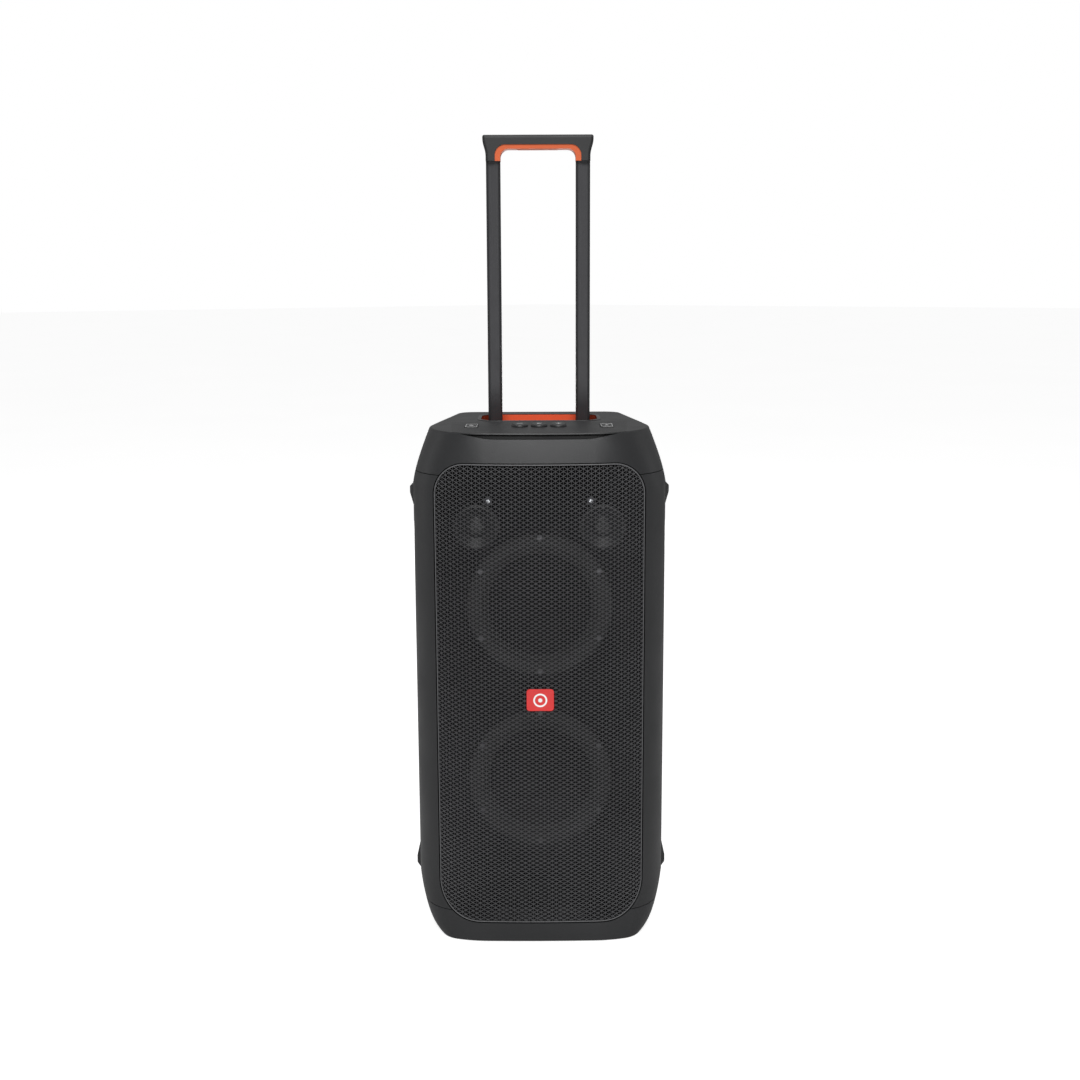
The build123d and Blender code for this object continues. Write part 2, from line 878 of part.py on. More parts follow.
# ---- the trolley handle -------------------------------------------------------------------------------

def make_post():
    """Right-hand handle post: a flattened tube with a window for its latch pin."""
    post = column(post_outline(0), post_bottom, grip_bottom)
    post -= column(post_outline(-post_wall), post_bottom - 1, grip_bottom - 6)
    return post - rod_x(post_x, post_x + post_width, post_y, pin_z, pin_radius + 0.15)


def make_latch_pin():
    """Right-hand latch pin, sprung out into the guide; it draws in when the grip's button is squeezed."""
    tip = post_x + post_width / 2 + guide_gap + pin_reach
    pin = rod_x(tip - pin_length, tip, post_y, pin_z, pin_radius)
    pin = chamfer(pin.faces().sort_by(Axis.X)[-1].edges(), 0.6)
    return pin + rod_x(tip - pin_length, tip - pin_length + 2, post_y, pin_z, pin_radius + 1.6)


def make_guide():
    """Right-hand guide tube.  The latch pin runs in its slot, whose ends stop the handle."""
    top = recess_floor - liner_wall - 0.02
    guide = column(post_outline(guide_gap + guide_wall), guide_bottom, top)
    guide -= column(post_outline(guide_gap), guide_bottom - 1, top + 1)
    low_pin_z = pin_z - (grip_top - stowed_top)
    half = pin_radius + 0.4
    guide -= block(post_x, post_x + 30, post_y - half, post_y + half, low_pin_z, pin_z)
    for z in (low_pin_z, pin_z):
        guide -= rod_x(post_x, post_x + 30, post_y, z, half)
    return guide


def make_guide_bracket():
    """Plate that ties the lower ends of both guides to the back wall."""
    z = guide_bottom + 88
    plate = block(-78, 78, post_y - 16, rear - wall - 0.05, z + 22, z + 26)
    sleeves = column(post_outline(guide_gap + guide_wall + 0.02), z, z + 40)
    return plate - sleeves - other_side(sleeves)


def grip_outline():
    """The grip seen from the front: it widens in a slight S from the posts to its flat top."""
    neck_z = grip_bottom + 6
    head_z = grip_top - 4
    flare = Spline((grip_low_half, neck_z), (grip_top_half, head_z), tangents=((0, 1), (0, 1)))
    side = Line((grip_low_half, grip_bottom), flare @ 0) + flare + Line(flare @ 1, (grip_top_half, grip_top))
    half_outline = Line((0, grip_bottom), side @ 0) + side + Line(side @ 1, (0, grip_top))
    return make_face(half_outline + mirror(half_outline, Plane.YZ))


def arch_outline(half, top, corner, bottom):
    """A round-cornered arch seen from the front, open below."""
    height = top - bottom + corner
    face = RectangleRounded(2 * half, 2 * height, corner)
    return Pos(0, top - height) * face


def grip_slab(outline, depth):
    """An outline seen from the front, given its depth round the middle of the posts."""
    return Pos(0, post_y + depth / 2, 0) * Rot(90, 0, 0) * extrude(outline, depth)


def make_grip():
    """Grip shell across the tops of the posts."""
    grip = grip_slab(grip_outline(), grip_depth)
    top = grip.faces().sort_by(Axis.Z)[-1]
    grip = fillet(top.edges().filter_by(Axis.Y), 2.5)
    crown = grip.faces().sort_by(Axis.Z)[-1]
    grip = fillet(crown.edges().filter_by(Axis.X), 4)
    return grip - grip_slab(arch_outline(trim_half, trim_top, trim_corner, grip_bottom), 2 * grip_depth)


def make_grip_trim():
    """Soft coloured liner round the inside of the grip, with a slot for the release button."""
    inner = arch_outline(gap_half, gap_top, gap_corner, grip_bottom)
    outer = arch_outline(trim_half - 0.02, trim_top - 0.02, trim_corner, grip_bottom)
    trim = grip_slab(outer - inner, grip_depth - 3)
    trim = trim & block(-big, big, -big, big, grip_bottom + 0.05, grip_top)
    slot = release_half + 0.4
    return trim - block(-slot, slot, post_y - 8.4, post_y + 8.4, gap_top - 5, trim_top + 1)


def make_release_button():
    """Squeeze bar under the grip that draws the latch pins in."""
    low = gap_top - release_drop
    bar = block(-release_half, release_half, post_y - 8, post_y + 8, low, low + 2.6)
    return fillet(bar.faces().sort_by(Axis.Z)[0].edges(), 0.8)


# ---- wheels -------------------------------------------------------------------------------------------

def make_tyre():
    """Right-hand tyre: a rounded tread with shallow grooves."""
    half = wheel_width / 2
    outer = wheel_radius
    inner = wheel_radius - 11
    profile = Polyline(
        (wheel_x - half, inner),
        (wheel_x - half, outer - 3),
        (wheel_x - half + 4, outer),
        (wheel_x + half - 4, outer),
        (wheel_x + half, outer - 3),
        (wheel_x + half, inner),
        close=True,
    )
    tyre = revolve(make_face(profile), Axis.X, 360)
    for x in (wheel_x - 5, wheel_x + 5):
        groove = Pos(x, 0, 0) * Rot(0, 90, 0) * (Cylinder(outer + 1, 1.6) - Cylinder(outer - 1.2, 1.6))
        tyre -= groove
    return Pos(0, wheel_y, wheel_radius) * tyre


def make_hub():
    """Right-hand wheel hub: rim, web with six spokes and a bored boss."""
    half = wheel_width / 2
    rim_radius = wheel_radius - 11.02
    rim = Cylinder(rim_radius, wheel_width - 1) - Cylinder(rim_radius - 4, wheel_width)
    web = Cylinder(rim_radius - 2, 5)
    boss = Cylinder(11, wheel_width - 2)
    hub = rim + web + boss
    for i in range(6):
        hub -= Rot(0, 0, 60 * i) * Pos(20.5, 0, 0) * Cylinder(6, wheel_width)
        hub += Rot(0, 0, 60 * i + 30) * Pos(20.5, 0, 4) * Box(20, 4, 10)
    hub -= Cylinder(axle_radius + bore_gap, 2 * half + 10)
    return Pos(wheel_x, wheel_y, wheel_radius) * Rot(0, 90, 0) * hub


def make_axle():
    """Steel axle right across the back, with a push-on cap outside each wheel."""
    end = wheel_x + wheel_width / 2 + 1.2
    axle = rod_x(-end, end, wheel_y, wheel_radius, axle_radius - 0.02)
    caps = rod_x(end - 0.8, end + 2, wheel_y, wheel_radius, 9)
    caps = chamfer(caps.faces().sort_by(Axis.X)[-1].edges(), 1)
    return axle + caps + other_side(caps)


# ---- build everything ---------------------------------------------------------------------------------

def build():
    skin = hollow_body()
    save(make_shell(skin), "cabinet_shell")
    save(make_back_wall(), "back_wall")
    save(make_bottom_cap(skin), "bottom_cap")
    save(make_top_cap(skin), "top_cap")
    save(make_control_panel(), "control_panel")
    save(make_recess_liner(), "recess_liner")
    save(make_recess_rim(), "recess_rim")
    save(make_grille(), "grille")
    save(make_baffle(), "front_baffle")
    save(make_feet(), "front_feet")

    upper_pad = make_side_pad(584.0, 548.0)
    lower_pad = make_side_pad(63.0, 108.0)
    save(both_sides(upper_pad), "side_pads_upper")
    save(both_sides(lower_pad), "side_pads_lower")

    for name, z in zip(("upper", "lower"), woofer_heights):
        save(make_basket(z), f"woofer_{name}_basket")
        save(make_motor(z), f"woofer_{name}_motor")
        save(make_cone(z), f"woofer_{name}_cone")
        save(make_surround(z), f"woofer_{name}_surround")
        save(make_light_ring(z), f"light_ring_{name}")

    save(both_sides(make_tweeter(*tweeter_place)), "tweeters")
    save(both_sides(make_strobe(*strobe_place)), "strobe_lights")

    plate, mark = make_badge()
    save(plate, "badge_plate")
    save(mark, "badge_mark")

    names = ("button_left", "button_middle", "button_right", "side_button_left", "side_button_right")
    for index, (name, outline) in enumerate(zip(names, button_outlines(0))):
        if index < 3:
            save(make_button(outline, button_rise, 2.6), name)
        else:
            save(make_button(outline, side_button_rise, 0.6), name)
    save(make_button_board(), "button_board")

    save(make_rear_panel(), "rear_panel")
    save(Compound(children=[make_jack(*place) for place in jack_places]), "jacks")
    for name, place in zip(("left", "right"), knob_places):
        save(make_knob(*place), f"knob_{name}")
    save(make_socket_block(), "socket_block")
    save(make_inlet(), "mains_inlet")
    save(make_port_tube(), "port_tube")
    save(make_battery_door(), "battery_door")
    save(make_screws(), "screws")

    save(make_battery(), "battery_pack")
    save(make_battery_tray(), "battery_tray")
    save(make_amplifier(), "amplifier_board")
    save(make_heat_sink(), "heat_sink")
    save(make_power_supply(), "power_supply")

    post = make_post()
    pin = make_latch_pin()
    save(post, "post_right")
    save(other_side(post), "post_left")
    save(pin, "latch_pin_right")
    save(other_side(pin), "latch_pin_left")
    save(both_sides(make_guide()), "guide_tubes")
    save(make_guide_bracket(), "guide_bracket")
    save(make_grip(), "grip_shell")
    save(make_grip_trim(), "grip_trim")
    save(make_release_button(), "release_button")

    tyre = make_tyre()
    hub = make_hub()
    save(tyre, "tyre_right")
    save(other_side(tyre), "tyre_left")
    save(hub, "hub_right")
    save(other_side(hub), "hub_left")
    save(make_axle(), "axle")


build()
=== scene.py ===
import math

import bpy
import numpy as np
from mathutils import Matrix, Vector
from mathutils.bvhtree import BVHTree


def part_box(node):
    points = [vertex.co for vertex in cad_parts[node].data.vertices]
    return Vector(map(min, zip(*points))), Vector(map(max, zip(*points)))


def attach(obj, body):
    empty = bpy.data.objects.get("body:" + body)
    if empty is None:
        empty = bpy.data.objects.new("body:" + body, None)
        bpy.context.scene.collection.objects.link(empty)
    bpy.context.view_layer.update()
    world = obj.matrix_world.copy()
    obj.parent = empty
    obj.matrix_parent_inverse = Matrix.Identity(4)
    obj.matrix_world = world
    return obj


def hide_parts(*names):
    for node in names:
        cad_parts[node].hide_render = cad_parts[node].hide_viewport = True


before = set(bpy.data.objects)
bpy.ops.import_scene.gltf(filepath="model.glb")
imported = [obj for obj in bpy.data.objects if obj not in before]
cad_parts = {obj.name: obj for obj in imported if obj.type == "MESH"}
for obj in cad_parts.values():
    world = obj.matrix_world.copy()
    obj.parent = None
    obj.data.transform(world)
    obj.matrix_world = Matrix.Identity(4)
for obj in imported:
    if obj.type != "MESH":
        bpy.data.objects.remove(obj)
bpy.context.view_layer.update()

# Looks for the party speaker.  Metres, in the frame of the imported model: the grille faces -Y and Z is up.

# ---- driving sizes ------------------------------------------------------------------------------------

MM = 0.001
PITCH = 5.6 * MM            # side of one triangle of the grille's lattice
BAR = 0.62 * MM             # width of a bar between two holes
RELIEF = 0.45 * MM          # how far a bar's ridge stands over the edges of the holes
SHEET = 1.1 * MM            # thickness of the grille
RIM = 1.6 * MM              # plain margin round the grille
LOW_CORNER = 50 * MM
HIGH_CORNER = 39 * MM
PRINT = 0.12 * MM           # thickness of the printed marks
DECK_BREAK = -45 * MM       # the deck slopes down from here towards the front
DECK_FALL = math.radians(0.6)
LIP = 1.5 * MM              # thickness of the control panel's lip, over its groove, which is painted dark as shade
SCALE_RADIUS = 10.6 * MM    # of the ring of graduations round a gain knob

# ---- driving colours ----------------------------------------------------------------------------------

CHARCOAL = (0.0150, 0.0154, 0.0165)
DEEP = (0.0080, 0.0082, 0.0088)
ORANGE = (0.74, 0.105, 0.036)
PAINTED_SHADE_LEVEL = 0.25                # how bright painted shade is beside the plastic round it
INNER = 0.05                # specular level of the dull pieces behind the grille


# ---- node trees ---------------------------------------------------------------------------------------

class Look:
    """A material being built: each method adds nodes and returns the socket to go on with."""

    def __init__(self, name):
        self.material = bpy.data.materials.new(name)
        self.material.use_nodes = True
        tree = self.material.node_tree
        self.nodes = tree.nodes
        self.links = tree.links
        self.shader = self.nodes["Principled BSDF"]
        self.place = self.nodes.new("ShaderNodeTexCoord").outputs["Object"]

    def feed(self, socket, value):
        """Links a socket to another one, or sets it to a plain value."""
        if isinstance(value, bpy.types.NodeSocket):
            self.links.new(value, socket)
        elif isinstance(value, tuple) and len(value) == 3 and socket.type == "RGBA":
            socket.default_value = (*value, 1.0)
        else:
            socket.default_value = value

    def set(self, **inputs):
        """Sets inputs of the surface shader; an underscore in a name stands for a space."""
        for name, value in inputs.items():
            self.feed(self.shader.inputs[name.replace("_", " ")], value)

    def stretched(self, x, y, z):
        """The object's coordinates, scaled along each axis."""
        mapping = self.nodes.new("ShaderNodeMapping")
        mapping.inputs["Scale"].default_value = (x, y, z)
        self.feed(mapping.inputs["Vector"], self.place)
        return mapping.outputs["Vector"]

    def noise(self, scale, detail=3.0, place=None):
        """Cloudy noise from 0 to 1, with that many blotches in a metre."""
        texture = self.nodes.new("ShaderNodeTexNoise")
        texture.inputs["Scale"].default_value = scale
        texture.inputs["Detail"].default_value = detail
        self.feed(texture.inputs["Vector"], place or self.place)
        return texture.outputs["Fac"]

    def cells(self, scale):
        """Distance to the nearest of scattered points, for leathery or pebbled grain."""
        texture = self.nodes.new("ShaderNodeTexVoronoi")
        texture.inputs["Scale"].default_value = scale
        self.feed(texture.inputs["Vector"], self.place)
        return texture.outputs["Distance"]

    def spread(self, value, low, high, to_low=0.0, to_high=1.0):
        """Stretches value, so that low to high becomes to_low to to_high."""
        stretch = self.nodes.new("ShaderNodeMapRange")
        self.feed(stretch.inputs["Value"], value)
        for name, number in (("From Min", low), ("From Max", high), ("To Min", to_low), ("To Max", to_high)):
            stretch.inputs[name].default_value = number
        return stretch.outputs["Result"]

    def maths(self, operation, first, second):
        """A sum, a product or another operation on two values."""
        node = self.nodes.new("ShaderNodeMath")
        node.operation = operation
        self.feed(node.inputs[0], first)
        self.feed(node.inputs[1], second)
        return node.outputs["Value"]

    def mix(self, share, first, second):
        """A colour between first and second."""
        node = self.nodes.new("ShaderNodeMix")
        node.data_type = "RGBA"
        self.feed(node.inputs["Factor"], share)
        self.feed(node.inputs["A"], first)
        self.feed(node.inputs["B"], second)
        return node.outputs["Result"]

    def along(self, axis):
        """The object's coordinate along X, Y or Z, in metres."""
        split = self.nodes.new("ShaderNodeSeparateXYZ")
        self.feed(split.inputs["Vector"], self.place)
        return split.outputs[axis]

    def edges(self, width):
        """1 along outer and inner edges, 0 on open faces."""
        rounded = self.nodes.new("ShaderNodeBevel")
        rounded.samples = 4
        rounded.inputs["Radius"].default_value = width
        plain = self.nodes.new("ShaderNodeNewGeometry")
        facing = self.nodes.new("ShaderNodeVectorMath")
        facing.operation = "DOT_PRODUCT"
        self.feed(facing.inputs[0], rounded.outputs["Normal"])
        self.feed(facing.inputs[1], plain.outputs["Normal"])
        return self.spread(facing.outputs["Value"], 0.995, 0.85)

    def bump(self, height, depth):
        """A bumpy normal: height of 1 stands depth proud."""
        node = self.nodes.new("ShaderNodeBump")
        node.inputs["Distance"].default_value = depth
        self.feed(node.inputs["Height"], height)
        return node.outputs["Normal"]


def shade(colour, amount):
    """A colour made lighter or darker."""
    return tuple(min(1.0, part * amount) for part in colour)


# ---- finishes -----------------------------------------------------------------------------------------

def moulded(name, colour, roughness, grain=1100, depth=0.05 * MM, wear=0.5, painted_shade_mask=None):
    """Moulded plastic: spark-eroded grain, faint flow marks, and edges rubbed a little lighter.

    painted_shade_mask, if given, makes a mask of where shade is painted in: darker and duller there."""
    look = Look(name)
    pebbles = look.cells(grain)
    fine = look.noise(grain * 2.3, 2.0)
    clouds = look.noise(7.0, 4.0)
    tone = look.mix(look.spread(clouds, 0.3, 0.7), shade(colour, 0.9), shade(colour, 1.1))
    tone = look.mix(look.spread(fine, 0.45, 0.75, 0.0, 0.35), tone, shade(colour, 1.5))
    patches = look.spread(look.noise(55.0), 0.35, 0.65, 0.2, wear)
    rubbed = look.maths("MULTIPLY", look.edges(0.9 * MM), patches)
    tone = look.mix(rubbed, tone, shade(colour, 2.1))
    # Painted shade: under the mask the colour is darkened to a quarter and the specular lowered, standing in
    # for shade that falls there.
    if painted_shade_mask is not None:
        dull = painted_shade_mask(look)
        tone = look.mix(dull, tone, shade(colour, PAINTED_SHADE_LEVEL))
        look.set(Specular_IOR_Level=look.spread(dull, 0.0, 1.0, 0.5, 0.15))
    handled = look.spread(look.noise(16.0, 5.0), 0.3, 0.7, roughness - 0.05, roughness + 0.06)
    look.set(Base_Color=tone, Roughness=look.maths("ADD", handled, look.spread(fine, 0.0, 1.0, -0.03, 0.03)))
    height = look.maths("ADD", pebbles, look.spread(fine, 0.0, 1.0, 0.0, 0.5))
    look.set(Normal=look.bump(height, depth))
    return look.material


def groove(look):
    """1 on what lies under the control panel's lip, 0 above: the mask of the shade painted into the groove
    there.
    """
    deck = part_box("control_panel")[1].z
    ahead = look.maths("MAXIMUM", look.maths("SUBTRACT", DECK_BREAK, look.along("Y")), 0.0)
    top = look.maths("SUBTRACT", deck, look.maths("MULTIPLY", ahead, math.tan(DECK_FALL)))
    return look.spread(look.maths("SUBTRACT", top, look.along("Z")), LIP, LIP + 0.3 * MM)


def post_shadow(look):
    """1 on the ends of the liner, outside the posts, which stay dull and dark; 0 between the posts."""
    aside = look.maths("ABSOLUTE", look.along("X"), 0.0)
    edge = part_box("post_right")[1].x - 6 * MM
    return look.spread(aside, edge, edge + 1 * MM)


def rubbery(name, colour, roughness=0.78, grain=1500):
    """Rubber: matt, with lighter patches of dust scattered at random, and a soft sheen."""
    look = Look(name)
    grains = look.noise(grain, 4.0)
    dust = look.spread(look.noise(28.0, 6.0), 0.42, 0.72, 0.0, 0.45)
    look.set(Base_Color=look.mix(dust, colour, shade(colour, 1.9)), Sheen_Weight=0.12, Sheen_Roughness=0.5)
    look.set(Roughness=look.spread(grains, 0.2, 0.8, roughness - 0.08, roughness + 0.1))
    look.set(Normal=look.bump(look.maths("ADD", grains, look.cells(grain * 0.4)), 0.05 * MM))
    return look.material


def powder_coat(name, colour, roughness=0.46):
    """Powder-coated steel: a fine orange peel over metal."""
    look = Look(name)
    peel = look.noise(750.0, 2.0)
    speck = look.noise(2600.0, 1.0)
    tone = look.mix(look.spread(look.noise(9.0), 0.3, 0.7), shade(colour, 0.88), shade(colour, 1.12))
    tone = look.mix(look.spread(speck, 0.6, 0.8, 0.0, 0.5), tone, shade(colour, 1.8))
    look.set(Base_Color=tone, Roughness=look.spread(speck, 0.2, 0.8, roughness - 0.06, roughness + 0.08))
    look.set(Normal=look.bump(peel, 0.05 * MM), Coat_Weight=0.08, Coat_Roughness=0.4)
    return look.material


def brushed(name, colour, roughness, along, metallic=1.0):
    """Metal drawn or brushed along an axis, with fine hairlines and a few handling marks."""
    look = Look(name)
    scale = tuple(14.0 if axis == along else 2400.0 for axis in "xyz")
    hair = look.noise(1.0, 3.0, look.stretched(*scale))
    marks = look.noise(40.0, 6.0)
    tone = look.mix(look.spread(hair, 0.3, 0.7), shade(colour, 0.82), shade(colour, 1.15))
    look.set(Base_Color=tone, Metallic=metallic)
    gloss = look.spread(hair, 0.2, 0.8, roughness - 0.05, roughness + 0.08)
    look.set(Roughness=look.maths("ADD", gloss, look.spread(marks, 0.45, 0.7, 0.0, 0.08)))
    look.set(Normal=look.bump(hair, 0.01 * MM))
    return look.material


def glossy(name, colour, roughness=0.12):
    """Polished plastic with faint ripples and wiping marks."""
    look = Look(name)
    ripple = look.noise(90.0, 2.0)
    smears = look.spread(look.noise(22.0, 7.0), 0.4, 0.75, roughness, roughness + 0.16)
    tone = look.mix(look.spread(ripple, 0.3, 0.7), shade(colour, 0.93), shade(colour, 1.06))
    look.set(Base_Color=tone, Roughness=smears, Normal=look.bump(ripple, 0.015 * MM))
    look.set(Coat_Weight=0.25, Coat_Roughness=0.08)
    return look.material


def soft_touch(name, colour):
    """Rubber-coated plastic, as on the coloured lining of the grip."""
    look = Look(name)
    nap = look.noise(3200.0, 2.0)
    clouds = look.noise(18.0, 4.0)
    tone = look.mix(look.spread(clouds, 0.3, 0.7), shade(colour, 0.92), shade(colour, 1.05))
    worn = look.maths("MULTIPLY", look.edges(0.7 * MM), 0.35)
    tone = look.mix(worn, tone, shade(colour, 1.3))
    look.set(Base_Color=tone, Roughness=look.spread(nap, 0.2, 0.8, 0.5, 0.66), Sheen_Weight=0.1)
    look.set(Normal=look.bump(nap, 0.03 * MM))
    return look.material


def paper_cone(name, colour):
    """Pressed pulp: fibres, mottling and a dull surface."""
    look = Look(name)
    fibres = look.noise(1.0, 5.0, look.stretched(900.0, 900.0, 260.0))
    pulp = look.noise(130.0, 8.0)
    tone = look.mix(look.spread(pulp, 0.35, 0.65), shade(colour, 0.7), shade(colour, 1.35))
    tone = look.mix(look.spread(fibres, 0.55, 0.75, 0.0, 0.6), tone, shade(colour, 2.6))
    look.set(Base_Color=tone, Roughness=0.85, Specular_IOR_Level=INNER, Normal=look.bump(fibres, 0.09 * MM))
    return look.material


def frosted(name, colour):
    """Diffuser with a fine haze, a little lighter where it is thin, its lights off; the near-black colour it
    is given is painted shade behind the grille.
    """
    look = Look(name)
    haze = look.noise(1800.0, 2.0)
    thick = look.noise(30.0, 3.0)
    tone = look.mix(look.spread(thick, 0.3, 0.7), shade(colour, 0.9), shade(colour, 1.1))
    look.set(Base_Color=tone, Roughness=look.spread(haze, 0.2, 0.8, 0.3, 0.48), Specular_IOR_Level=INNER)
    look.set(Normal=look.bump(haze, 0.02 * MM))
    return look.material


def lamp_lens(name, colour):
    """Smoked lens over a small bright chip in its middle."""
    look = Look(name)
    low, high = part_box("strobe_lights")
    radius = (high.z - low.z) / 2
    aside = look.maths("SUBTRACT", look.maths("ABSOLUTE", look.along("X"), 0.0), high.x - radius)
    above = look.maths("SUBTRACT", look.along("Z"), low.z + radius)
    squares = [look.maths("MULTIPLY", value, value) for value in (aside, above)]
    away = look.maths("POWER", look.maths("ADD", *squares), 0.5)
    chip = look.spread(away, radius * 0.45, radius * 0.35)
    haze = look.noise(900.0, 3.0)
    tone = look.mix(look.spread(haze, 0.3, 0.7), shade(colour, 0.85), shade(colour, 1.2))
    tone = look.mix(chip, tone, (0.9, 0.92, 0.95))
    look.set(Base_Color=tone, Roughness=look.spread(haze, 0.2, 0.8, 0.08, 0.2))
    look.set(Emission_Color=(0.9, 0.95, 1.0), Emission_Strength=look.maths("MULTIPLY", chip, 0.5))
    return look.material


def painted_board(name, colour):
    """Black paint over fibreboard: long soft grain showing through."""
    look = Look(name)
    grain = look.noise(1.0, 6.0, look.stretched(55.0, 55.0, 900.0))
    tone = look.mix(look.spread(grain, 0.35, 0.7), shade(colour, 0.7), shade(colour, 1.6))
    look.set(Base_Color=tone, Roughness=look.spread(grain, 0.3, 0.7, 0.7, 0.9), Specular_IOR_Level=INNER)
    look.set(Normal=look.bump(grain, 0.08 * MM))
    return look.material


def circuit_board(name, colour, copper=(0.30, 0.42, 0.10)):
    """Solder mask over copper tracks, with tinned pads."""
    look = Look(name)
    tracks = look.nodes.new("ShaderNodeTexBrick")
    look.feed(tracks.inputs["Vector"], look.place)
    tracks.inputs["Scale"].default_value = 95.0
    tracks.inputs["Mortar Size"].default_value = 0.05
    pads = look.spread(look.cells(210.0), 0.16, 0.12)
    tone = look.mix(tracks.outputs["Fac"], colour, shade(copper, 0.4))
    blotches = look.spread(look.noise(300.0), 0.4, 0.7, 0.0, 0.4)
    tone = look.mix(blotches, tone, shade(colour, 0.6))
    tone = look.mix(pads, tone, (0.62, 0.62, 0.6))
    look.set(Base_Color=tone, Metallic=look.maths("MULTIPLY", pads, 0.9))
    look.set(Roughness=look.spread(pads, 0.0, 1.0, 0.4, 0.3))
    look.set(Normal=look.bump(look.maths("ADD", tracks.outputs["Fac"], pads), 0.05 * MM))
    return look.material


def shrink_film(name, colour):
    """Heat-shrunk sleeve with creases."""
    look = Look(name)
    creases = look.noise(1.0, 7.0, look.stretched(50.0, 18.0, 160.0))
    tone = look.mix(look.spread(creases, 0.3, 0.7), shade(colour, 0.75), shade(colour, 1.25))
    look.set(Base_Color=tone, Roughness=look.spread(creases, 0.3, 0.7, 0.22, 0.38), Coat_Weight=0.4)
    look.set(Normal=look.bump(creases, 0.5 * MM))
    return look.material


def cast_magnet(name, colour):
    """Sintered ferrite and plated plates: granular, a little metallic."""
    look = Look(name)
    sand = look.noise(1400.0, 6.0)
    tone = look.mix(look.spread(sand, 0.35, 0.65), shade(colour, 0.6), shade(colour, 1.5))
    look.set(Base_Color=tone, Metallic=0.35, Roughness=look.spread(sand, 0.2, 0.8, 0.45, 0.7))
    look.set(Normal=look.bump(sand, 0.12 * MM))
    return look.material


FINISHES = {
    "body_plastic": moulded("body_plastic_look", CHARCOAL, 0.46),
    "cap_plastic": moulded("cap_plastic_look", CHARCOAL, 0.42),
    "deck_plastic": moulded("deck_plastic_look", shade(CHARCOAL, 0.85), 0.45, grain=1500, painted_shade_mask=groove),
    "liner_orange": moulded("liner_orange_look", ORANGE, 0.42, 1300, wear=0.15, painted_shade_mask=post_shadow),
    "trim_dark": glossy("trim_dark_look", DEEP, 0.3),
    "grille_steel": powder_coat("grille_steel_look", (0.092, 0.092, 0.096)),
    # Painted shade: the board, baskets, cones, surrounds and light rings behind the grille get colours far
    # darker than their real finishes, standing in for the shade inside the cabinet seen through the holes.
    "board_wood": painted_board("board_wood_look", shade(DEEP, 0.12)),
    "foot_rubber": rubbery("foot_rubber_look", (0.012, 0.012, 0.012)),
    "pad_rubber": rubbery("pad_rubber_look", (0.017, 0.017, 0.018), 0.66),
    "basket_steel": powder_coat("basket_steel_look", (0.0018, 0.0018, 0.002), 0.7),
    "magnet_ferrite": cast_magnet("magnet_ferrite_look", (0.06, 0.06, 0.065)),
    "cone_paper": paper_cone("cone_paper_look", (0.0016, 0.0016, 0.0018)),
    "surround_rubber": rubbery("surround_rubber_look", (0.0012, 0.0012, 0.0012), 0.8),
    "ring_frosted": frosted("ring_frosted_look", (0.0040, 0.0041, 0.0043)),
    "tweeter_plastic": moulded("tweeter_plastic_look", DEEP, 0.4),
    "lens_clear": lamp_lens("lens_clear_look", (0.10, 0.10, 0.11)),
    "badge_coral": moulded("badge_coral_look", (0.56, 0.012, 0.012), 0.38, 2400, 0.015 * MM, wear=0.1),
    "mark_white": glossy("mark_white_look", (0.82, 0.82, 0.82), 0.25),
    "button_plastic": moulded("button_plastic_look", CHARCOAL, 0.38, grain=1900, depth=0.03 * MM),
    "board_green": circuit_board("board_green_look", (0.012, 0.07, 0.03)),
    "panel_plastic": moulded("panel_plastic_look", DEEP, 0.5, grain=1500),
    "nickel": brushed("nickel_look", (0.62, 0.59, 0.54), 0.22, "y"),
    "knob_plastic": moulded("knob_plastic_look", DEEP, 0.36, grain=2100, depth=0.03 * MM),
    "socket_plastic": moulded("socket_plastic_look", DEEP, 0.58),
    "screw_steel": brushed("screw_steel_look", (0.10, 0.10, 0.105), 0.35, "y"),
    "battery_wrap": shrink_film("battery_wrap_look", (0.03, 0.06, 0.14)),
    "tray_plastic": moulded("tray_plastic_look", DEEP, 0.55),
    "post_aluminium": brushed("post_aluminium_look", (0.040, 0.040, 0.043), 0.42, "z", metallic=0.55),
    "grip_plastic": moulded("grip_plastic_look", shade(CHARCOAL, 0.55), 0.58, grain=1500),
    "grip_coral": soft_touch("grip_coral_look", (0.57, 0.090, 0.014)),
    "sink_aluminium": brushed("sink_aluminium_look", (0.55, 0.56, 0.58), 0.34, "z"),
    "supply_case": brushed("supply_case_look", (0.48, 0.49, 0.50), 0.38, "y"),
    "pin_steel": brushed("pin_steel_look", (0.56, 0.55, 0.53), 0.24, "x"),
    "guide_plastic": moulded("guide_plastic_look", DEEP, 0.5),
    "tyre_rubber": rubbery("tyre_rubber_look", (0.013, 0.013, 0.014), 0.72, grain=1100),
    "hub_plastic": moulded("hub_plastic_look", shade(CHARCOAL, 1.3), 0.44),
    "axle_steel": brushed("axle_steel_look", (0.56, 0.56, 0.57), 0.26, "x"),
}


def paint_nodes():
    """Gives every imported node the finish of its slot."""
    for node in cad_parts.values():
        for holder in node.material_slots:
            name = holder.material.name.split(".")[0]
            if name in FINISHES:
                holder.material = FINISHES[name]
            elif holder.material not in FINISHES.values():
                print("no finish for", name, "on", node.name)


# ---- mesh helpers -------------------------------------------------------------------------------------

def piece(name, corners, faces, body, slot):
    """A mesh object with its finish that rides on a body."""
    mesh = bpy.data.meshes.new(name)
    corners = [tuple(float(value) for value in corner) for corner in corners]
    mesh.from_pydata(corners, [], faces)
    mesh.validate()
    mesh.materials.append(FINISHES[slot])
    thing = bpy.data.objects.new(name, mesh)
    bpy.context.scene.collection.objects.link(thing)
    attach(thing, body)
    return thing


def surface_of(node):
    """The node's triangles, for casting rays at."""
    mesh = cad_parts[node].data
    return BVHTree.FromPolygons([v.co for v in mesh.vertices], [p.vertices for p in mesh.polygons])


# ---- the grille ---------------------------------------------------------------------------------------

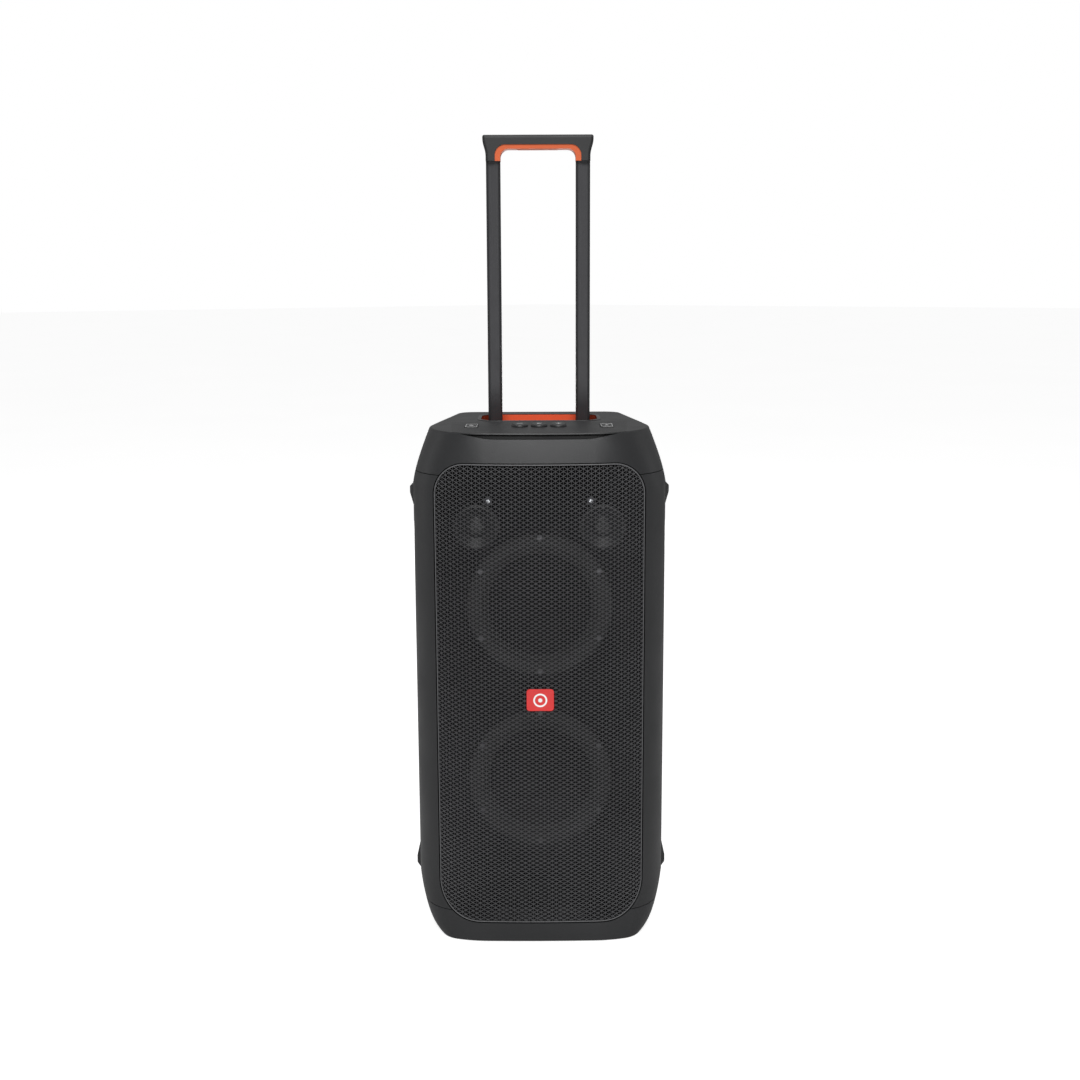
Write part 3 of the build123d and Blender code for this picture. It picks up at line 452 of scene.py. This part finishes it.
def rounded_outline(low, high, inset, step=3.0 * MM):
    """Points round the grille's outline in the X-Z plane, moved inwards by inset.

    The number of points doesn't depend on inset, so that outlines of two insets pair up."""
    corners = (
        (high.x - LOW_CORNER, low.z + LOW_CORNER, LOW_CORNER, -90),
        (high.x - HIGH_CORNER, high.z - HIGH_CORNER, HIGH_CORNER, 0),
        (low.x + HIGH_CORNER, high.z - HIGH_CORNER, HIGH_CORNER, 90),
        (low.x + LOW_CORNER, low.z + LOW_CORNER, LOW_CORNER, 180),
    )
    arcs = []
    for x, z, radius, start in corners:
        turns = [math.radians(start + 90 * i / 18) for i in range(19)]
        arcs.append([(x + (radius - inset) * math.cos(t), z + (radius - inset) * math.sin(t)) for t in turns])
    points = []
    for arc, following in zip(arcs, arcs[1:] + arcs[:1]):
        points += arc
        (x0, z0), (x1, z1) = arc[-1], following[0]
        count = max(2, round(math.dist(arc[-1], following[0]) / step))
        points += [(x0 + (x1 - x0) * i / count, z0 + (z1 - z0) * i / count) for i in range(1, count)]
    return np.array(points)


class Front:
    """The curved face of the CAD grille: depth at a place, and distances along and inside it."""

    def __init__(self):
        self.low, self.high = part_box("grille")
        self.tree = surface_of("grille")
        self.reach = self.high.x - 0.2 * MM
        self.middle_z = (self.low.z + self.high.z) / 2
        self.xs = np.linspace(0, self.reach, 200)
        ys = np.array([self.depth(x, self.middle_z) for x in self.xs])
        self.along = np.concatenate([[0], np.cumsum(np.hypot(np.diff(self.xs), np.diff(ys)))])

    def depth(self, x, z):
        """Y of the sheet's front at x, z: the nearest of a few rays, as one may slip between triangles."""
        depths = []
        for aside, up in ((0.0, 0.0), (0.0, 0.05), (0.05, -0.05), (-0.05, -0.05)):
            start = Vector((x + aside * MM, self.low.y - 0.05, z + up * MM))
            hit = self.tree.ray_cast(start, Vector((0, 1, 0)))[0]
            if hit is not None:
                depths.append(hit.y)
        return min(depths) if depths else self.tree.find_nearest(Vector((x, self.low.y, z)))[0].y

    def across(self, distance):
        """X of the place that far from the middle, measured along the sheet."""
        return math.copysign(float(np.interp(abs(distance), self.along, self.xs)), distance)

    def inside(self, x, z):
        """How far x, z is inside the outline; negative outside."""
        corner = LOW_CORNER if z < self.middle_z else HIGH_CORNER
        dx = abs(x) - (self.high.x - corner)
        dz = abs(z - self.middle_z) - (self.high.z - self.middle_z - corner)
        outside = math.hypot(max(dx, 0.0), max(dz, 0.0)) + min(max(dx, dz), 0.0)
        return corner - outside

    def drawn_in(self, x, z, margin):
        """x, z, or the nearest place at least margin inside the outline."""
        short = margin - self.inside(x, z)
        if short <= 0:
            return x, z
        corner = LOW_CORNER if z < self.middle_z else HIGH_CORNER
        dx = max(abs(x) - (self.high.x - corner), 0.0)
        dz = max(abs(z - self.middle_z) - (self.high.z - self.middle_z - corner), 0.0)
        length = math.hypot(dx, dz)
        x -= math.copysign(short * dx / length, x)
        z -= math.copysign(short * dz / length, z - self.middle_z)
        return x, z


def lattice_cells(front):
    """The lattice's triangles, each as three corners (column, row), pointing left or right in turn."""
    column = PITCH * math.sqrt(3) / 2
    columns = int(front.along[-1] / column) + 1
    rows = int((front.high.z - front.low.z) / PITCH / 2) + 2
    cells = []
    for i in range(-columns, columns):
        for j in range(-rows, rows):
            odd = i % 2
            cells.append(((i, j), (i + 1, j + odd), (i, j + 1)))
            cells.append(((i + 1, j), (i + 1, j + 1), (i, j + 1 - odd)))
    return cells, column


def make_grille(front):
    """The perforated sheet in two pieces, split across the middle because of its many holes."""
    cells, column = lattice_cells(front)
    places = {}

    def place(corner):
        if corner not in places:
            i, j = corner
            x = front.across(max(-front.along[-1], min(front.along[-1], i * column)))
            places[corner] = (x, front.middle_z + (j + 0.5 * (i % 2)) * PITCH)
        return places[corner]

    upper, lower = [], []
    for cell in cells:
        spots = [place(corner) for corner in cell]
        x = sum(spot[0] for spot in spots) / 3
        z = sum(spot[1] for spot in spots) / 3
        if front.inside(x, z) > RIM * 0.6:
            (upper if z > front.middle_z else lower).append((cell, spots))
    for name, group in (("grille_upper", upper), ("grille_lower", lower)):
        corners, faces = pierced_sheet(front, group)
        half = piece(name, corners, faces, "cabinet", "grille_steel")
        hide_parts("grille")


def pierced_sheet(front, group):
    """Corners and faces of a closed sheet with one triangular hole in each cell."""
    shrink = 1 - BAR / (PITCH / math.sqrt(3))
    corners, faces, known, sides = [], [], {}, {}

    def corner(key, x, z, lift):
        """A corner on the front and the one behind it; returns the front one's number."""
        if key not in known:
            x, z = front.drawn_in(x, z, RIM * 0.4)
            y = front.depth(x, z)
            known[key] = len(corners)
            corners.append((x, y - lift, z))
            corners.append((x, y + SHEET, z))
        return known[key]

    for number, (cell, spots) in enumerate(group):
        x = sum(spot[0] for spot in spots) / 3
        z = sum(spot[1] for spot in spots) / 3
        outer = [corner(key, *spot, RELIEF) for key, spot in zip(cell, spots)]
        inner = [
            corner(("hole", number, k), x + (spot[0] - x) * shrink, z + (spot[1] - z) * shrink, 0.0)
            for k, spot in enumerate(spots)
        ]
        for k in range(3):
            a, b = outer[k], outer[(k + 1) % 3]
            c, d = inner[(k + 1) % 3], inner[k]
            faces.append((a, b, c, d))
            faces.append((d + 1, c + 1, b + 1, a + 1))
            faces.append((d, c, c + 1, d + 1))
            if (b, a) in sides:
                del sides[(b, a)]
            else:
                sides[(a, b)] = True
    faces += [(b, a, a + 1, b + 1) for a, b in sides]
    return corners, faces


def make_grille_rim(front):
    """The folded margin round the sheet, lapping the last row of holes."""
    lift = RELIEF + 0.1 * MM
    back = 5.0 * MM
    profile = ((RIM, lift - 0.25 * MM), (RIM * 0.75, lift), (0.7 * MM, lift * 0.9), (0.25 * MM, -0.6 * MM),
               (0.25 * MM, -back), (1.1 * MM, -back), (1.1 * MM, -SHEET), (RIM, -SHEET))
    corners = []
    for inset, forward in profile:
        for x, z in rounded_outline(front.low, front.high, inset):
            corners.append((x, front.depth(*front.drawn_in(x, z, 0.5 * MM)) - forward, z))
    count = len(corners) // len(profile)
    faces = []
    for ring in range(len(profile)):
        following = (ring + 1) % len(profile)
        for i in range(count):
            j = (i + 1) % count
            faces.append((ring * count + i, ring * count + j, following * count + j, following * count + i))
    rim = piece("grille_rim", corners, faces, "cabinet", "grille_steel")
    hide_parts("grille")


# ---- printed marks ------------------------------------------------------------------------------------

def laid_print(name, shapes, drop, body, slot):
    """Thin printed shapes laid on a surface.

    shapes are outlines of (u, v) points and drop(u, v, lift) puts a point on the surface, lift above it."""
    corners, faces = [], []
    for shape in shapes:
        start = len(corners)
        count = len(shape)
        corners += [drop(u, v, -PRINT) for u, v in shape]
        corners += [drop(u, v, PRINT) for u, v in shape]
        faces.append([start + i for i in reversed(range(count))])
        faces.append([start + count + i for i in range(count)])
        for i in range(count):
            j = (i + 1) % count
            faces.append((start + i, start + j, start + count + j, start + count + i))
    return piece(name, corners, faces, body, slot)


def bar(x, y, length, width, turn=0.0):
    """A thin bar round x, y, turned by an angle in degrees."""
    c, s = math.cos(math.radians(turn)), math.sin(math.radians(turn))
    half = ((-length, -width), (length, -width), (length, width), (-length, width))
    return [(x + (u * c - v * s) / 2, y + (u * s + v * c) / 2) for u, v in half]


def disc(x, y, radius, count=20):
    """A round dot."""
    turns = [2 * math.pi * i / count for i in range(count)]
    return [(x + radius * math.cos(t), y + radius * math.sin(t)) for t in turns]


def on_top_of(node):
    """A function that drops (x, y) on a node from above."""
    tree = surface_of(node)
    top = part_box(node)[1].z

    def drop(x, y, lift):
        hit = tree.ray_cast(Vector((x, y, top + 0.01)), Vector((0, 0, -1)))[0]
        return (x, y, hit.z + lift)

    return drop


def on_back_of(node):
    """A function that puts (x, z) on a node's rear face."""
    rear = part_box(node)[1].y

    def drop(x, z, lift):
        return (x, rear + lift, z)

    return drop


def middle(node):
    """Centre of a node's box."""
    low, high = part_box(node)
    return (low + high) / 2


def frame_bars(at, width, length, line):
    """The outline of an upright oblong as four thin bars."""
    sides = [bar(at.x, at.y + side * (length - line) / 2, width, line) for side in (-1, 1)]
    ends = [bar(at.x + side * (width - line) / 2, at.y, length - 2 * line, line, 90) for side in (-1, 1)]
    return sides + ends


def mark_key(name, key, body, shapes):
    """White shapes printed on a key."""
    laid_print(name, shapes, on_top_of(key), body, "mark_white")


def make_deck_marks():
    """Plain symbols on the five keys: less, play, more, a link and a lamp."""
    stroke = 1 * MM
    dash = 7 * MM
    border = (14 * MM, 30 * MM, 0.35 * MM)

    at = middle("button_left")
    mark_key("mark_less", "button_left", "key_left", [bar(at.x, at.y, dash, stroke)])

    at = middle("button_middle")
    arrow = [(at.x - 2.4 * MM, at.y - 3 * MM), (at.x + 3.2 * MM, at.y), (at.x - 2.4 * MM, at.y + 3 * MM)]
    mark_key("mark_play", "button_middle", "key_middle", [arrow])

    at = middle("button_right")
    arm = (dash - stroke) / 2
    cross = [bar(at.x, at.y, dash, stroke)]
    for side in (-1, 1):
        cross.append(bar(at.x, at.y + side * (arm + stroke) / 2, arm, stroke, 90))
    mark_key("mark_more", "button_right", "key_right", cross)

    at = middle("side_button_left")
    link = [bar(at.x, at.y + side * 2 * MM, 6.4 * MM, stroke, side * -38) for side in (-1, 1)]
    mark_key("mark_link", "side_button_left", "key_side_left", link + frame_bars(at, *border))

    at = middle("side_button_right")
    lamp = [disc(at.x, at.y, 1.9 * MM)]
    mark_key("mark_lamp", "side_button_right", "key_side_right", lamp + frame_bars(at, *border))


def make_dial_marks():
    """Graduations round the two gain knobs."""
    shapes = []
    for name in ("knob_left", "knob_right"):
        at = middle(name)
        for i in range(11):
            turn = 225 - 27 * i
            x = at.x + SCALE_RADIUS * math.cos(math.radians(turn))
            z = at.z + SCALE_RADIUS * math.sin(math.radians(turn))
            shapes.append(bar(x, z, (2.2 if i % 5 == 0 else 1.4) * MM, 0.45 * MM, turn))
    laid_print("dial_marks", shapes, on_back_of("rear_panel"), "cabinet", "mark_white")


# ---- the room -----------------------------------------------------------------------------------------

def make_floor():
    """A wide pale floor."""
    look = Look("floor_look")
    soft = look.noise(1.3, 3.0)
    tone = look.mix(look.spread(soft, 0.3, 0.7), (0.55, 0.55, 0.55), (0.58, 0.58, 0.58))
    look.set(Base_Color=tone, Roughness=0.9, Specular_IOR_Level=0.1)
    ray = look.nodes.new("ShaderNodeLightPath")
    glow = look.maths("MULTIPLY", ray.outputs["Is Camera Ray"], 0.80)
    look.set(Emission_Color=(1.0, 1.0, 1.0), Emission_Strength=glow)
    edge = disc(0.0, 0.0, 30.0, count=8)
    mesh = bpy.data.meshes.new("floor")
    mesh.from_pydata([(x, y, 0.0) for x, y in edge], [], [list(range(len(edge)))])
    mesh.materials.append(look.material)
    floor = bpy.data.objects.new("floor", mesh)
    bpy.context.scene.collection.objects.link(floor)


def make_lamp(name, place, target, size, power):
    """A softbox at place, facing target."""
    light = bpy.data.lights.new(name, "AREA")
    light.shape = "RECTANGLE"
    light.size, light.size_y = size
    light.energy = power
    lamp = bpy.data.objects.new(name, light)
    bpy.context.scene.collection.objects.link(lamp)
    lamp.location = place
    lamp.rotation_mode = "QUATERNION"
    lamp.rotation_quaternion = (Vector(target) - Vector(place)).to_track_quat("-Z", "Y")


def make_light():
    """White surroundings and softboxes: over the camera, low in front, on both sides, overhead and behind."""
    world = bpy.data.worlds.new("studio")
    bpy.context.scene.world = world
    world.use_nodes = True
    nodes, links = world.node_tree.nodes, world.node_tree.links
    backdrop = nodes["Background"]
    backdrop.inputs["Color"].default_value = (1.0, 1.0, 1.0, 1.0)
    path = nodes.new("ShaderNodeLightPath")
    strength = nodes.new("ShaderNodeMapRange")
    strength.inputs["To Min"].default_value = 0.28
    strength.inputs["To Max"].default_value = 1.0
    links.new(path.outputs["Is Camera Ray"], strength.inputs["Value"])
    links.new(strength.outputs["Result"], backdrop.inputs["Strength"])
    chest = (0.0, 0.0, 0.5)
    make_lamp("key_box", (0.0, -2.3, 2.7), chest, (1.8, 1.2), 78.0)
    make_lamp("left_box", (-2.4, 0.6, 0.9), chest, (0.7, 1.8), 3.0)
    make_lamp("right_box", (2.4, 0.6, 0.9), chest, (0.7, 1.8), 2.0)
    make_lamp("top_box", (0.0, 0.4, 3.0), chest, (2.0, 2.0), 22.0)
    make_lamp("back_box", (0.0, 3.0, 0.32), chest, (1.6, 0.5), 14.0)
    make_lamp("low_box", (0.0, -2.6, 0.25), (0.0, 0.0, 0.1), (1.6, 0.4), 14.0)


def make_camera():
    """The photograph's viewing angle: a little above the deck, looking down, with a trace of roll."""
    data = bpy.data.cameras.new("camera")
    data.sensor_width = 36.0
    data.lens = 49.067
    data.shift_x = 0.00037
    camera = bpy.data.objects.new("camera", data)
    bpy.context.scene.collection.objects.link(camera)
    place = Matrix.Translation((0.0, -1.935, 0.854))
    pitch = Matrix.Rotation(math.radians(90 - 10.63), 4, "X")
    roll = Matrix.Rotation(math.radians(-0.24), 4, "Z")
    camera.matrix_world = place @ pitch @ roll
    bpy.context.scene.camera = camera


# ---- put it together ----------------------------------------------------------------------------------

bpy.context.scene.view_settings.view_transform = "Standard"
make_camera()
make_light()
make_floor()
paint_nodes()
face = Front()
make_grille(face)
make_grille_rim(face)
make_deck_marks()
make_dial_marks()
